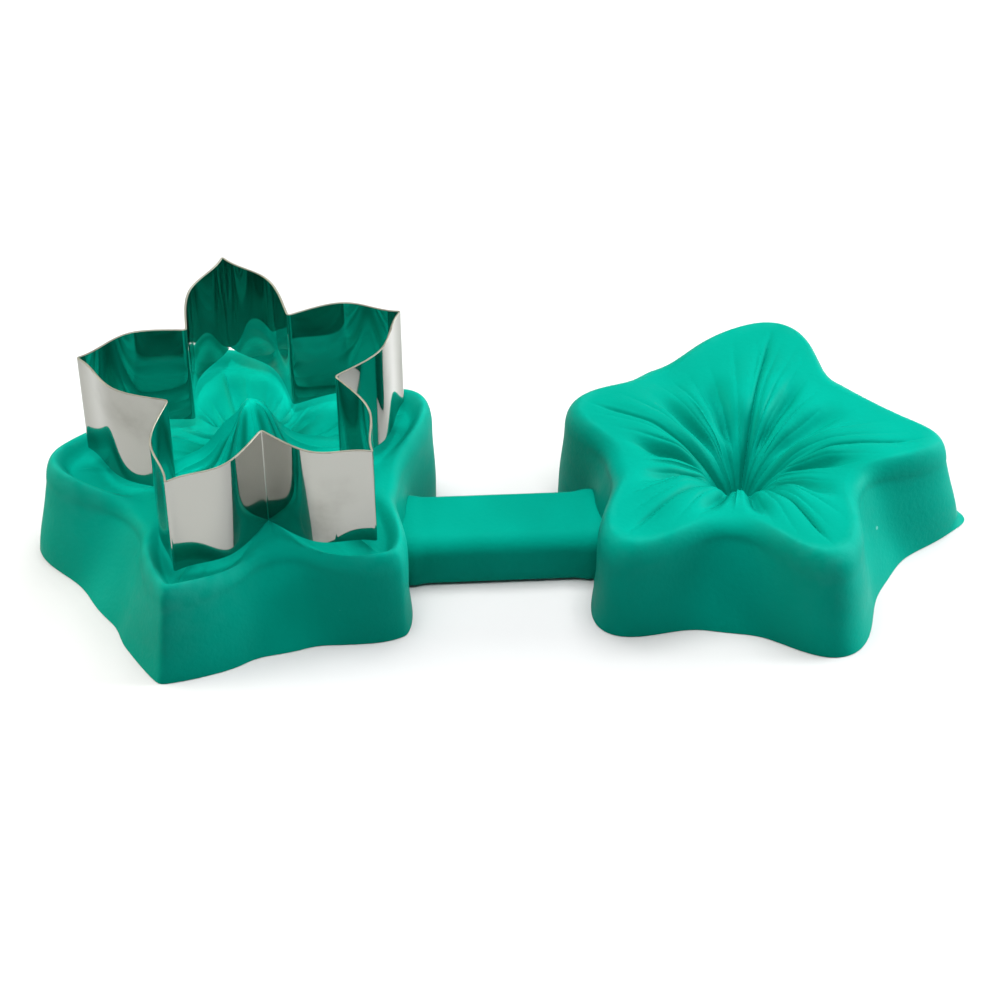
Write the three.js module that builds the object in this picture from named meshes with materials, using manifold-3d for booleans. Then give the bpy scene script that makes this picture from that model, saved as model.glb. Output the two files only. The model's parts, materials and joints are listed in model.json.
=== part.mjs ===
// A folding silicone flower press for sugar paste, lying open, with its steel petal cutter standing on it.
// The raised half and the hollow half are joined by a flexible strap, modelled as a short chain of links.
// Millimetres, +Z up. +X runs along the strap from the raised half to the hollow half, and +Y to the back.

import * as THREE from "three";
import { mergeVertices } from "three/addons/utils/BufferGeometryUtils.js";
import Module from "manifold-3d";

// Flower and cutter outline
const PETALS = 5;
const CUTTER_TIP_RADIUS = 27.7;
const CUTTER_NOTCH_RADIUS = 14.1;
const PETAL_HALF_WIDTH = 7.9;
const PETAL_SWELL_RUN = 2.6;
const PETAL_POINT_LENGTH = 6.5;
const PETAL_POINT_HALF_WIDTH = 6.1;
const PETAL_POINT_PULL = 2.9;
const PETAL_POINT_PULL_HALF_WIDTH = 1.5;

// Cutter strip: bent steel whose ends overlap on one flank of a petal
const CUTTER_HEIGHT = 20;
const STEEL_THICKNESS = 0.5;
const LAP_PETAL = 4;
const LAP_LENGTH = 6;
const LAP_RAMP = 3;
const LAP_FROM_TIP = 6.5;
const CUTTER_LEAN_DEG = 7.5;
const CUTTER_TURN_DEG = -2.2;
const CUTTER_SHIFT = 0.5;
const CUTTER_SEAT_GAP = 0.2;

// Relief between the halves, measured from the parting plane
const THROAT_DEPTH = 14.5;
const THROAT_RADIUS = 6;
const THROAT_FLARE = 1.25;
const FLOOR_THICKNESS = 4;
const TIP_RECESS = 2.8;
const NOTCH_RECESS = 1.9;
const PETAL_HOLLOW = 0.6;
const RECESS_BLEND_RADIUS = 5;
const FOLD_HEIGHT = 0.9;
const FOLD_START_RADIUS = 3;
const FOLD_FULL_RADIUS = 7;
const FOLD_ANGLE_DEG = 9;
const FOLD_SPREAD_DEG = 5;
const MIDRIB_HEIGHT = 0.7;
const MIDRIB_HALF_WIDTH = 1.3;
const MIDRIB_END_RADIUS = 24;
const LIP_RUN = 3;

// Silicone blocks round the flower
const RIM_MARGIN_TIP = 4;
const RIM_MARGIN_NOTCH = 8.6;
const SHOULDER_TIP = 1.6;
const SHOULDER_NOTCH = 1.8;
const SHOULDER_DROP = 4.8;
const WALL_DRAFT_TIP = 1.8;
const WALL_DRAFT_NOTCH = 2.6;
const WALL_SHIFT = 1.2;
const HALF_TURN_DEG = 7.8;
const CLOSED_GAP = 0.6;

// Strap
const STRAP_WIDTH = 13.2;
const STRAP_THICKNESS = 8.8;
const STRAP_FRONT_ROUND = 3;
const STRAP_BACK_ROUND = 1.2;
const STRAP_BOTTOM_ROUND = 1;
const STRAP_ROOT = 0.4;
const STRAP_OFFSET = 4;
const STRAP_LINKS = 5;
const LINK_GAP = 0.3;

// Mesh fineness
const FACETS_PER_PETAL = 18;
const FLANK_STEPS = 7;
const RELIEF_RINGS = 10;
const LIP_RINGS = 3;
const SHOULDER_RINGS = 3;
const ROUND_STEPS = 5;

// Exponents that set how full a curve is
const RIM_FULLNESS = 1.68;
const FOOT_FULLNESS = 1.97;

const FACETS = PETALS * FACETS_PER_PETAL;
const PETAL_ANGLE = (2 * Math.PI) / PETALS;
const PARTING_HEIGHT = FLOOR_THICKNESS + THROAT_DEPTH;
const HALF_TURN = THREE.MathUtils.degToRad(HALF_TURN_DEG);
const CUTTER_LEAN = THREE.MathUtils.degToRad(CUTTER_LEAN_DEG);
const CUTTER_TURN = THREE.MathUtils.degToRad(CUTTER_TURN_DEG);

const silicone = () => new THREE.MeshStandardMaterial({ color: 0x00a890, roughness: 0.45, metalness: 0 });
const steel = () => new THREE.MeshStandardMaterial({ color: 0xb9b9b4, roughness: 0.15, metalness: 1 });

const wasm = await Module();
wasm.setup();

// 1 on a petal's tip line, 0 on the notch line between two petals; a notch faces the strap at angle 0.
function tipness(angle) {
  return (1 - Math.cos(PETALS * angle)) / 2;
}

// Radius of a five-pointed outline between its notch and tip radii, more pointed as the fullness grows.
function starRadius(notch, tip, fullness, angle) {
  return notch + (tip - notch) * tipness(angle) ** fullness;
}

// Rim of the relief.
function rimRadius(angle) {
  const notch = CUTTER_NOTCH_RADIUS + RIM_MARGIN_NOTCH;
  const tip = CUTTER_TIP_RADIUS + RIM_MARGIN_TIP;
  return starRadius(notch, tip, RIM_FULLNESS, angle) - (WALL_SHIFT / 2) * Math.cos(angle);
}

// Wall at the lower end of the rounded shoulder.
function wallRadius(angle) {
  return rimRadius(angle) + THREE.MathUtils.lerp(SHOULDER_NOTCH, SHOULDER_TIP, tipness(angle));
}

// Foot of the wall, where the block stands.
function footRadius(angle) {
  const notch = CUTTER_NOTCH_RADIUS + RIM_MARGIN_NOTCH + SHOULDER_NOTCH + WALL_DRAFT_NOTCH;
  const tip = CUTTER_TIP_RADIUS + RIM_MARGIN_TIP + SHOULDER_TIP + WALL_DRAFT_TIP;
  return starRadius(notch, tip, FOOT_FULLNESS, angle) - WALL_SHIFT * Math.cos(angle);
}

// Height of the raised half's surface over the parting plane; the hollow half has the same depth below it.
function relief(radius, angle) {
  const tip = tipness(angle);
  const lip = 1 - tip * (1 - THREE.MathUtils.smoothstep(rimRadius(angle) - radius, 0, LIP_RUN));
  const outward = 1 - Math.exp(-((radius / RECESS_BLEND_RADIUS) ** 2));
  const across = radius / rimRadius(angle);
  const hollow = PETAL_HOLLOW * tip * Math.sin(Math.PI * across) ** 2;
  const recess = NOTCH_RECESS + (TIP_RECESS - NOTCH_RECESS) * tip + hollow;
  const throat = THROAT_DEPTH * Math.exp(-((radius / THROAT_RADIUS) ** THROAT_FLARE));
  return throat - lip * outward * recess + foldHeight(radius, angle) + midribHeight(radius, angle);
}

// Two soft folds with a groove between them run out from the throat to each notch.
function foldHeight(radius, angle) {
  const fromNotch = angle - PETAL_ANGLE * Math.round(angle / PETAL_ANGLE);
  const off = Math.abs(THREE.MathUtils.radToDeg(fromNotch)) - FOLD_ANGLE_DEG;
  const start = THREE.MathUtils.smoothstep(radius, FOLD_START_RADIUS, FOLD_FULL_RADIUS);
  const end = 1 - THREE.MathUtils.smoothstep(radius, FOLD_FULL_RADIUS, CUTTER_NOTCH_RADIUS);
  return FOLD_HEIGHT * start * end * Math.exp(-((off / FOLD_SPREAD_DEG) ** 2));
}

// A ridge runs out from the peak along the middle of each petal and fades before the petal's tip.
function midribHeight(radius, angle) {
  const fromMiddle = angle - PETAL_ANGLE * (Math.floor(angle / PETAL_ANGLE) + 0.5);
  const start = THREE.MathUtils.smoothstep(radius, FOLD_START_RADIUS, FOLD_FULL_RADIUS);
  const end = 1 - THREE.MathUtils.smoothstep(radius, FOLD_FULL_RADIUS, MIDRIB_END_RADIUS);
  return MIDRIB_HEIGHT * start * end * Math.exp(-Math.abs(radius * fromMiddle) / MIDRIB_HALF_WIDTH);
}

function polar(radius, angle, height) {
  return [radius * Math.cos(angle), radius * Math.sin(angle), height];
}

// One ring of points round the block, from a function of the angle that gives a radius and a height.
function ringPoints(pointAt) {
  return Array.from({ length: FACETS }, (_, i) => {
    const angle = (i * 2 * Math.PI) / FACETS;
    return polar(pointAt(angle).radius, angle, pointAt(angle).height);
  });
}

// Rings over the relief, its lip, the shoulder and the foot of the wall, from the middle outwards.
function blockRings(side) {
  const surface = (radius, angle) => ({ radius, height: PARTING_HEIGHT + side * relief(radius, angle) });
  const edge = (angle) => rimRadius(angle) - LIP_RUN;
  const middle = (edge(0) + edge(PETAL_ANGLE / 2)) / 2;
  const rings = [];
  for (let i = 1; i <= RELIEF_RINGS; i++) {
    const s = i / RELIEF_RINGS;
    rings.push(ringPoints((a) => surface(s * (s * edge(a) + (1 - s) * middle), a)));
  }
  for (let i = 1; i <= LIP_RINGS; i++) {
    rings.push(ringPoints((a) => surface(edge(a) + (LIP_RUN * i) / LIP_RINGS, a)));
  }
  for (let i = 1; i <= SHOULDER_RINGS; i++) {
    const turn = (Math.PI / 2) * (i / SHOULDER_RINGS);
    rings.push(ringPoints((a) => shoulderPoint(turn, a, side)));
  }
  rings.push(ringPoints((a) => ({ radius: footRadius(a), height: 0 })));
  return rings;
}

// A point on the rounded shoulder between the rim and the wall.
function shoulderPoint(turn, angle, side) {
  const rim = rimRadius(angle);
  const top = PARTING_HEIGHT + side * relief(rim, angle);
  return {
    radius: rim + (wallRadius(angle) - rim) * Math.sin(turn),
    height: top - SHOULDER_DROP * (1 - Math.cos(turn)),
  };
}

// Closed star block: side 1 carries the raised flower, side -1 the hollow one.
function blockGeometry(side) {
  const rings = blockRings(side);
  const points = [polar(0, 0, PARTING_HEIGHT + side * relief(0, 0)), ...rings.flat(), polar(0, 0, 0)];
  const at = (ring, i) => 1 + ring * FACETS + (i % FACETS);
  const faces = [];
  for (let i = 0; i < FACETS; i++) {
    faces.push(0, at(0, i), at(0, i + 1));
    for (let ring = 1; ring < rings.length; ring++) {
      faces.push(at(ring - 1, i), at(ring, i), at(ring, i + 1));
      faces.push(at(ring - 1, i), at(ring, i + 1), at(ring - 1, i + 1));
    }
    faces.push(points.length - 1, at(rings.length - 1, i + 1), at(rings.length - 1, i));
  }
  const geometry = new THREE.BufferGeometry();
  geometry.setAttribute("position", new THREE.Float32BufferAttribute(points.flat(), 3));
  geometry.setIndex(faces);
  return geometry;
}

// The strap's section, rounded most at its top front edge, drawn out along +X from one end to the other.
function strapGeometry(from, to) {
  const half = STRAP_WIDTH / 2;
  const top = STRAP_THICKNESS;
  const section = new THREE.Shape();
  section.moveTo(-half + STRAP_BOTTOM_ROUND, 0);
  section.lineTo(half - STRAP_BOTTOM_ROUND, 0);
  section.absarc(half - STRAP_BOTTOM_ROUND, STRAP_BOTTOM_ROUND, STRAP_BOTTOM_ROUND, -Math.PI / 2, 0);
  section.absarc(half - STRAP_BACK_ROUND, top - STRAP_BACK_ROUND, STRAP_BACK_ROUND, 0, Math.PI / 2);
  section.absarc(STRAP_FRONT_ROUND - half, top - STRAP_FRONT_ROUND, STRAP_FRONT_ROUND, Math.PI / 2, Math.PI);
  section.absarc(STRAP_BOTTOM_ROUND - half, STRAP_BOTTOM_ROUND, STRAP_BOTTOM_ROUND, Math.PI, 1.5 * Math.PI);
  const drawn = { depth: to - from, bevelEnabled: false, curveSegments: ROUND_STEPS };
  const geometry = new THREE.ExtrudeGeometry(section, drawn);
  const alongX = new THREE.Matrix4().set(0, 0, 1, from, 1, 0, 0, -STRAP_OFFSET, 0, 1, 0, 0, 0, 0, 0, 1);
  return geometry.applyMatrix4(alongX);
}

function solidOf(geometry) {
  const bare = geometry.clone();
  bare.deleteAttribute("normal");
  bare.deleteAttribute("uv");
  const merged = mergeVertices(bare, 1e-4);
  const vertProperties = new Float32Array(merged.getAttribute("position").array);
  const triVerts = new Uint32Array(merged.index.array);
  return new wasm.Manifold(new wasm.Mesh({ numProp: 3, vertProperties, triVerts }));
}

function joined(first, second) {
  const mesh = solidOf(first).add(solidOf(second)).getMesh();
  const geometry = new THREE.BufferGeometry();
  geometry.setAttribute("position", new THREE.Float32BufferAttribute(mesh.vertProperties, 3));
  geometry.setIndex(Array.from(mesh.triVerts));
  geometry.computeVertexNormals();
  return geometry;
}

// The folded strap's last hinge stands over its first when its links turn by equal angles.
const hingeTurn = Math.PI / (STRAP_LINKS + 1);
const hingeRise = 2 * (PARTING_HEIGHT - STRAP_THICKNESS) + CLOSED_GAP;
const linkPitch = hingeRise * Math.tan(hingeTurn / 2);
const hingeReach = (linkPitch * STRAP_LINKS) / 2;

// How far the turned wall reaches towards the strap, over the strap's width.
function wallReach() {
  const reaches = [0];
  for (let i = 0; i < FACETS; i++) {
    const angle = (i * 2 * Math.PI) / FACETS;
    const [x, y] = polar(footRadius(angle), angle - HALF_TURN, 0);
    if (Math.abs(y + STRAP_OFFSET) <= STRAP_WIDTH / 2) reaches.push(x);
  }
  return Math.max(...reaches);
}
const flowerX = hingeReach + STRAP_ROOT + wallReach();

// Raised half at -X with its end of the strap
function raisedHalf() {
  const block = blockGeometry(1);
  block.rotateZ(-HALF_TURN).translate(-flowerX, 0, 0);
  const root = strapGeometry(-flowerX + CUTTER_NOTCH_RADIUS, -hingeReach - LINK_GAP / 2);
  const mesh = new THREE.Mesh(joined(block, root), silicone());
  mesh.name = "raised_half";
  return mesh;
}

// Hollow half at +X, the mirror image of the block with its relief sunk
function hollowHalf() {
  const block = blockGeometry(-1);
  block.rotateZ(-HALF_TURN).scale(-1, 1, 1).translate(flowerX, 0, 0);
  block.index.array.reverse();
  const root = strapGeometry(hingeReach + LINK_GAP / 2, flowerX - CUTTER_NOTCH_RADIUS);
  const mesh = new THREE.Mesh(joined(block, root), silicone());
  mesh.name = "hollow_half";
  return mesh;
}

// Links of the strap between the two halves
function strapLinks() {
  return Array.from({ length: STRAP_LINKS }, (_, i) => {
    const mesh = new THREE.Mesh(strapGeometry(LINK_GAP / 2, linkPitch - LINK_GAP / 2), silicone());
    mesh.position.x = i * linkPitch - hingeReach;
    mesh.name = `strap_link_${i + 1}`;
    return mesh;
  });
}

// One flank of a petal from its notch to its tip, along the petal's own axis: swelling, then drawn to a point.
function petalFlank() {
  const notch = new THREE.Vector2(1, 0).rotateAround(new THREE.Vector2(), PETAL_ANGLE / 2);
  notch.multiplyScalar(CUTTER_NOTCH_RADIUS);
  const neck = new THREE.Vector2(CUTTER_TIP_RADIUS - PETAL_POINT_LENGTH, PETAL_POINT_HALF_WIDTH);
  const tip = new THREE.Vector2(CUTTER_TIP_RADIUS, 0);
  const fromNotch = new THREE.Vector2(notch.x + PETAL_SWELL_RUN, PETAL_HALF_WIDTH);
  const toNeck = new THREE.Vector2(neck.x - PETAL_SWELL_RUN, PETAL_HALF_WIDTH);
  const fromNeck = neck.clone().add(neck).sub(toNeck);
  const toTip = new THREE.Vector2(tip.x - PETAL_POINT_PULL, PETAL_POINT_PULL_HALF_WIDTH);
  const swell = new THREE.CubicBezierCurve(notch, fromNotch, toNeck, neck);
  const drawnIn = new THREE.CubicBezierCurve(neck, fromNeck, toTip, tip);
  return [...swell.getPoints(FLANK_STEPS), ...drawnIn.getPoints(FLANK_STEPS).slice(1)];
}

// Middle line of the cutter's strip, anticlockwise from the notch that nearly faces the strap.
function cutterLine() {
  const flank = petalFlank();
  const rising = flank.map((p) => new THREE.Vector2(p.x, -p.y));
  const falling = flank.slice(1, -1).reverse();
  const centre = new THREE.Vector2();
  const line = [];
  for (let petal = 0; petal < PETALS; petal++) {
    const turn = PETAL_ANGLE * (petal + 0.5) + CUTTER_TURN;
    for (const p of [...rising, ...falling]) line.push(p.clone().rotateAround(centre, turn));
  }
  return line;
}

// The line moved sideways by a distance for each point, mitred at the corners.
function offsetLine(line, distanceAt) {
  return line.map((point, i) => {
    const before = line[(i + line.length - 1) % line.length];
    const after = line[(i + 1) % line.length];
    const a = point.clone().sub(before).normalize();
    const b = after.clone().sub(point).normalize();
    const bisector = new THREE.Vector2(a.y + b.y, -a.x - b.x);
    const mitre = 2 / bisector.lengthSq();
    return point.clone().addScaledVector(bisector, mitre * distanceAt(i));
  });
}

// Steel that the lapped end adds outside the strip: it ramps up, lies flat, and ends in a step.
function lapThickness(line) {
  const perPetal = line.length / PETALS;
  const tipIndex = perPetal * LAP_PETAL + 2 * FLANK_STEPS;
  return (i) => {
    if (i > tipIndex || i < perPetal * LAP_PETAL) return 0;
    let fromTip = 0;
    for (let k = i; k < tipIndex; k++) fromTip += line[k].distanceTo(line[k + 1]);
    const under = fromTip - LAP_FROM_TIP;
    if (under < 0) return 0;
    return STEEL_THICKNESS * THREE.MathUtils.clamp((LAP_LENGTH + LAP_RAMP - under) / LAP_RAMP, 0, 1);
  };
}

// Height of the cutter's middle so that its leaning lower edge just clears the raised flower.
function cutterSeat(outline) {
  const clear = outline.map((p) => {
    const x = p.x + CUTTER_SHIFT;
    const y = p.y * Math.cos(CUTTER_LEAN);
    const surface = PARTING_HEIGHT + relief(Math.hypot(x, y), Math.atan2(y, x));
    return surface - p.y * Math.sin(CUTTER_LEAN);
  });
  return Math.max(...clear) + CUTTER_SEAT_GAP;
}

// Petal cutter standing loosely on the raised half, leaning a little to the front
function petalCutter() {
  const line = cutterLine();
  const lap = lapThickness(line);
  const outer = offsetLine(line, (i) => STEEL_THICKNESS / 2 + lap(i));
  const inner = offsetLine(line, () => -STEEL_THICKNESS / 2);
  const band = new THREE.Shape(outer);
  band.holes.push(new THREE.Path(inner));
  const geometry = new THREE.ExtrudeGeometry(band, { depth: CUTTER_HEIGHT, bevelEnabled: false });
  const mesh = new THREE.Mesh(geometry, steel());
  mesh.name = "petal_cutter";
  mesh.rotation.x = CUTTER_LEAN;
  mesh.position.set(CUTTER_SHIFT, 0, cutterSeat([...outer, ...inner]));
  const stand = new THREE.Group();
  stand.add(mesh);
  stand.rotation.z = -HALF_TURN;
  stand.position.x = -flowerX;
  return stand;
}

// The whole press, with the origin under the middle of its outline
const press = new THREE.Group();
press.add(raisedHalf(), hollowHalf(), ...strapLinks(), petalCutter());
press.updateMatrixWorld(true);
press.position.y = -new THREE.Box3().setFromObject(press, true).getCenter(new THREE.Vector3()).y;

const flowerPress = new THREE.Group();
flowerPress.add(press);

export default flowerPress;
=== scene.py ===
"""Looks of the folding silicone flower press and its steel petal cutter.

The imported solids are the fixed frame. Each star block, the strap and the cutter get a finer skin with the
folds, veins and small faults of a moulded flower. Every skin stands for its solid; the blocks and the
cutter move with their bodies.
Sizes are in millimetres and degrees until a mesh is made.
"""

import json
import logging
import math
from dataclasses import dataclass, field
from enum import Enum

import bpy
import numpy as np
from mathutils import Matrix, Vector


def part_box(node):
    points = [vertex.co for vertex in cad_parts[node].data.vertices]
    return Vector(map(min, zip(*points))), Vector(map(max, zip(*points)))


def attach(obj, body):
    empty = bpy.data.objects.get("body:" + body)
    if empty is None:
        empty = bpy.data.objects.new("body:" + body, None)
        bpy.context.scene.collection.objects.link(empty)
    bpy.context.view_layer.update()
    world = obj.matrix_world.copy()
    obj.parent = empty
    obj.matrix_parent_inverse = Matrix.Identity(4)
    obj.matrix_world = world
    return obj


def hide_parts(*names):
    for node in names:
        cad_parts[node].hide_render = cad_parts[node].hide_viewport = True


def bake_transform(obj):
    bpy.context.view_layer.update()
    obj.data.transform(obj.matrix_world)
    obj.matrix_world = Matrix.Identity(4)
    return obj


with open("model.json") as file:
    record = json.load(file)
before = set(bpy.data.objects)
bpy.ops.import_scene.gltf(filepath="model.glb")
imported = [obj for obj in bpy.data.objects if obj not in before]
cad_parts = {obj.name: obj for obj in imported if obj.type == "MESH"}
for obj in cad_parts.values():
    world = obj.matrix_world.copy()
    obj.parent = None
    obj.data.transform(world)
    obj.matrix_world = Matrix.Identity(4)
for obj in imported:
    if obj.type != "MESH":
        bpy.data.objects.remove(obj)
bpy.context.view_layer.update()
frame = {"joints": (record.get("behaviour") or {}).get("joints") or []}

log = logging.getLogger("flower_press")

MM = 0.001
PICTURE_SIDE = 1001
PETALS = 5
PETAL_ANGLE = 2 * math.pi / PETALS
HALF_PETAL_DEG = 180 / PETALS
TOE_DEG = 7.8
NOISE_LOW, NOISE_HIGH = 0.3, 0.7

Array = np.ndarray
Color = tuple[float, float, float, float]
Place = tuple[float, float, float]
Span = tuple[float, float]
Window = tuple[float, float, float, float]
Faces = list[tuple[int, ...]]
Row = tuple[Array, Array, Array, Array]
Node = bpy.types.Node
Socket = bpy.types.NodeSocket
Tree = bpy.types.NodeTree
Piece = bpy.types.Object
Material = bpy.types.Material


class Side(Enum):
    """Which way a block's flower stands from the parting plane."""

    RAISED = 1
    HOLLOW = -1


class Slot(Enum):
    """Material slots of the record."""

    SILICONE = "silicone"
    STEEL = "steel"


class Mask(Enum):
    """Numbers on the vertices that the silicone's finish reads."""

    BLOOM = "bloom"
    # Painted shade: how far the colour is darkened in the grooves between the gathers.
    GROOVE_SHADE = "groove_shade"


# Curves


def smoothstep(x: Array, low: float, high: float) -> Array:
    """Eases from 0 at low to 1 at high."""
    t = np.clip((x - low) / (high - low), 0.0, 1.0)
    return t * t * (3.0 - 2.0 * t)


def swell(x: Array, width: float) -> Array:
    """A soft bump of height 1 at 0, with the given half width."""
    return np.exp(-((x / width) ** 2))


def crease(x: Array, width: float) -> Array:
    """A sharp bump of height 1 at 0, with the given half width."""
    return np.exp(-np.abs(x) / width)


def bezier(points: list[Array], steps: int) -> Array:
    """Points along a cubic Bezier curve with four control points, both ends included."""
    t = np.linspace(0.0, 1.0, steps + 1)[:, None]
    return sum(n * t**i * (1 - t) ** (3 - i) * p for i, (n, p) in enumerate(zip((1, 3, 3, 1), points)))


def turned(points: Array, angle: float) -> Array:
    """Plane points turned anticlockwise about the origin, with any further columns kept."""
    c, s = math.cos(angle), math.sin(angle)
    return np.concatenate([points[..., :2] @ np.array([[c, s], [-s, c]]), points[..., 2:]], axis=-1)


@dataclass(frozen=True)
class Ripple:
    """A wave round a flower.

    Attributes:
        turns: Waves in a full turn.
        phase: Shift in radians.
        size: Height of the wave.
        slant: Shift added for each step along the second direction.
    """

    turns: int
    phase: float
    size: float = 1.0
    slant: float = 0.0

    def at(self, angle: Array, along: Array | float = 0.0) -> Array:
        """The wave's height in each direction."""
        return self.size * np.sin(self.turns * angle + self.slant * along + self.phase)


# Meshes


def ring_faces(rings: int, around: int, start: int, closed: bool = False) -> Faces:
    """Quads between rings of points.

    Args:
        rings: How many rings there are.
        around: Points in each ring.
        start: Index of the first ring's first point.
        closed: Whether the last ring joins the first.

    Returns:
        The quads as vertex indices.
    """
    column = np.arange(around)
    onward = (column + 1) % around
    faces = []
    for ring in range(rings if closed else rings - 1):
        low = start + ring * around
        high = start + ((ring + 1) % rings) * around
        quads = np.stack([low + column, high + column, high + onward, low + onward], axis=-1)
        faces.extend(map(tuple, quads.tolist()))
    return faces


def capped_faces(rings: int, around: int) -> Faces:
    """Faces of rings between two end points.

    Args:
        rings: How many rings there are.
        around: Points in each ring.

    Returns:
        The faces, where points 0 and 1 are the ends before and after the rings, which follow them.
    """
    first, last = 2, 2 + (rings - 1) * around
    faces = ring_faces(rings, around, first)
    for i in range(around):
        onward = (i + 1) % around
        faces += [(0, first + i, first + onward), (last + onward, last + i, 1)]
    return faces


def flipped(faces: Faces) -> Faces:
    """The same faces, seen from the other side."""
    return [face[::-1] for face in faces]


def mesh_object(name: str, points: Array, faces: Faces, sharp_deg: float) -> Piece:
    """Makes a smooth-shaded object from points in millimetres.

    Args:
        name: The piece's name.
        points: Rows of x, y and z.
        faces: Vertex indices of each face.
        sharp_deg: Edges bent by more than this stay sharp.

    Returns:
        The new object, linked into the scene.
    """
    mesh = bpy.data.meshes.new(name)
    mesh.from_pydata((points * MM).tolist(), [], faces)
    mesh.shade_smooth()
    mesh.set_sharp_from_angle(angle=math.radians(sharp_deg))
    obj = bpy.data.objects.new(name, mesh)
    bpy.context.scene.collection.objects.link(obj)
    return obj


def add_mask(obj: Piece, mask: Mask, values: Array) -> None:
    """Stores one number per vertex for the finish to read."""
    attribute = obj.data.attributes.new(mask.value, "FLOAT", "POINT")
    attribute.data.foreach_set("value", values.astype(np.float32))


# Effects that the finishes share


@dataclass
class NodeSheet:
    """A node tree that is being wired."""

    tree: Tree

    def add(self, kind: str, **settings: object) -> Node:
        """Adds a node.

        Args:
            kind: Blender's name of the node's type.
            settings: Properties to set on it.

        Returns:
            The new node.
        """
        node = self.tree.nodes.new(kind)
        for key, value in settings.items():
            setattr(node, key, value)
        return node

    def feed(self, target: Socket, value: object) -> None:
        """Wires a socket to an input, or sets the input to a plain value."""
        if isinstance(value, Socket):
            self.tree.links.new(value, target)
        else:
            target.default_value = value

    def fill(self, node: Node, **values: object) -> Node:
        """Feeds a node's inputs.

        Args:
            node: The node.
            values: Sockets or plain values by the input's name, with underscores for spaces.

        Returns:
            The same node.
        """
        for key, value in values.items():
            self.feed(node.inputs[key.replace("_", " ")], value)
        return node

    def math(self, operation: str, first: object, second: object) -> Socket:
        """Adds a maths node.

        Args:
            operation: Blender's name of the sum.
            first: A socket or a number.
            second: A socket or a number.

        Returns:
            The result's socket.
        """
        node = self.add("ShaderNodeMath", operation=operation)
        for socket, value in zip(node.inputs, (first, second)):
            self.feed(socket, value)
        return node.outputs["Value"]

    def blend(self, factor: Socket, under: object, over: object) -> Socket:
        """Mixes two colours.

        Args:
            factor: How much of the second colour shows.
            under: A colour or a colour socket.
            over: A colour or a colour socket.

        Returns:
            The mixed colour's socket.
        """
        node = self.add("ShaderNodeMix", data_type="RGBA")
        self.feed(node.inputs["Factor"], factor)
        for socket, value in zip((s for s in node.inputs if s.type == "RGBA"), (under, over)):
            self.feed(socket, value)
        return next(s for s in node.outputs if s.type == "RGBA")

    def mask(self, mask: Mask) -> Socket:
        """Reads one of the masks on the vertices."""
        return self.add("ShaderNodeAttribute", attribute_name=mask.value).outputs["Fac"]

    def effect(self, tree: Tree, **values: float) -> Socket:
        """Places a shared effect with values for its inputs, and gives its output."""
        return self.fill(self.add("ShaderNodeGroup", node_tree=tree), **values).outputs[0]

    def bump(self, height: Socket, strength: float, depth_mm: float) -> Socket:
        """A normal made bumpy by a height from 0 to 1, which stands for the depth."""
        values = {"Height": height, "Strength": strength, "Distance": depth_mm * MM}
        return self.fill(self.add("ShaderNodeBump"), **values).outputs["Normal"]


def effect_tree(name: str, inputs: dict[str, float], output: str) -> tuple[NodeSheet, Node, Node]:
    """Starts a shader node group with number inputs and one number output.

    Args:
        name: The effect's name.
        inputs: Name and default of each input.
        output: Name of the output.

    Returns:
        The sheet to wire it on, its input node and its output node.
    """
    tree = bpy.data.node_groups.new(name, "ShaderNodeTree")
    for key, value in inputs.items():
        socket = tree.interface.new_socket(name=key, in_out="INPUT", socket_type="NodeSocketFloat")
        socket.default_value = value
    tree.interface.new_socket(name=output, in_out="OUTPUT", socket_type="NodeSocketFloat")
    sheet = NodeSheet(tree)
    return sheet, sheet.add("NodeGroupInput"), sheet.add("NodeGroupOutput")


def mottle_effect() -> Tree:
    """Soft uneven patches between a low and a high value.

    Returns:
        The node group, with inputs Scale, Detail, Low and High and the output Value.
    """
    inputs = {"Scale": 40.0, "Detail": 3.0, "Low": 0.0, "High": 1.0}
    sheet, given, made = effect_tree("mottle", inputs, "Value")
    place = sheet.add("ShaderNodeTexCoord").outputs["Object"]
    noise = sheet.add("ShaderNodeTexNoise")
    sheet.fill(noise, Vector=place, Scale=given.outputs["Scale"], Detail=given.outputs["Detail"])
    spread = sheet.add("ShaderNodeMapRange", interpolation_type="SMOOTHSTEP")
    sheet.fill(spread, Value=noise.outputs["Fac"], From_Min=NOISE_LOW, From_Max=NOISE_HIGH)
    sheet.fill(spread, To_Min=given.outputs["Low"], To_Max=given.outputs["High"])
    sheet.fill(made, Value=spread.outputs["Result"])
    return sheet.tree


def specks_effect() -> Tree:
    """Scattered small dots.

    Returns:
        The node group, with inputs Scale, Share and Size and the output Mask.
    """
    sheet, given, made = effect_tree("specks", {"Scale": 200.0, "Share": 0.1, "Size": 0.15}, "Mask")
    cells = sheet.add("ShaderNodeTexVoronoi")
    parted = sheet.add("ShaderNodeSeparateColor")
    place = sheet.add("ShaderNodeTexCoord").outputs["Object"]
    sheet.fill(cells, Vector=place, Scale=given.outputs["Scale"])
    sheet.fill(parted, Color=cells.outputs["Color"])
    chosen = sheet.math("LESS_THAN", parted.outputs["Red"], given.outputs["Share"])
    size = sheet.math("MULTIPLY", given.outputs["Size"], parted.outputs["Green"])
    inside = sheet.math("LESS_THAN", cells.outputs["Distance"], size)
    sheet.fill(made, Mask=sheet.math("MULTIPLY", chosen, inside))
    return sheet.tree


@dataclass
class Effects:
    """The shared effects, each built once."""

    mottle: Tree = field(default_factory=mottle_effect)
    specks: Tree = field(default_factory=specks_effect)


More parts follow.
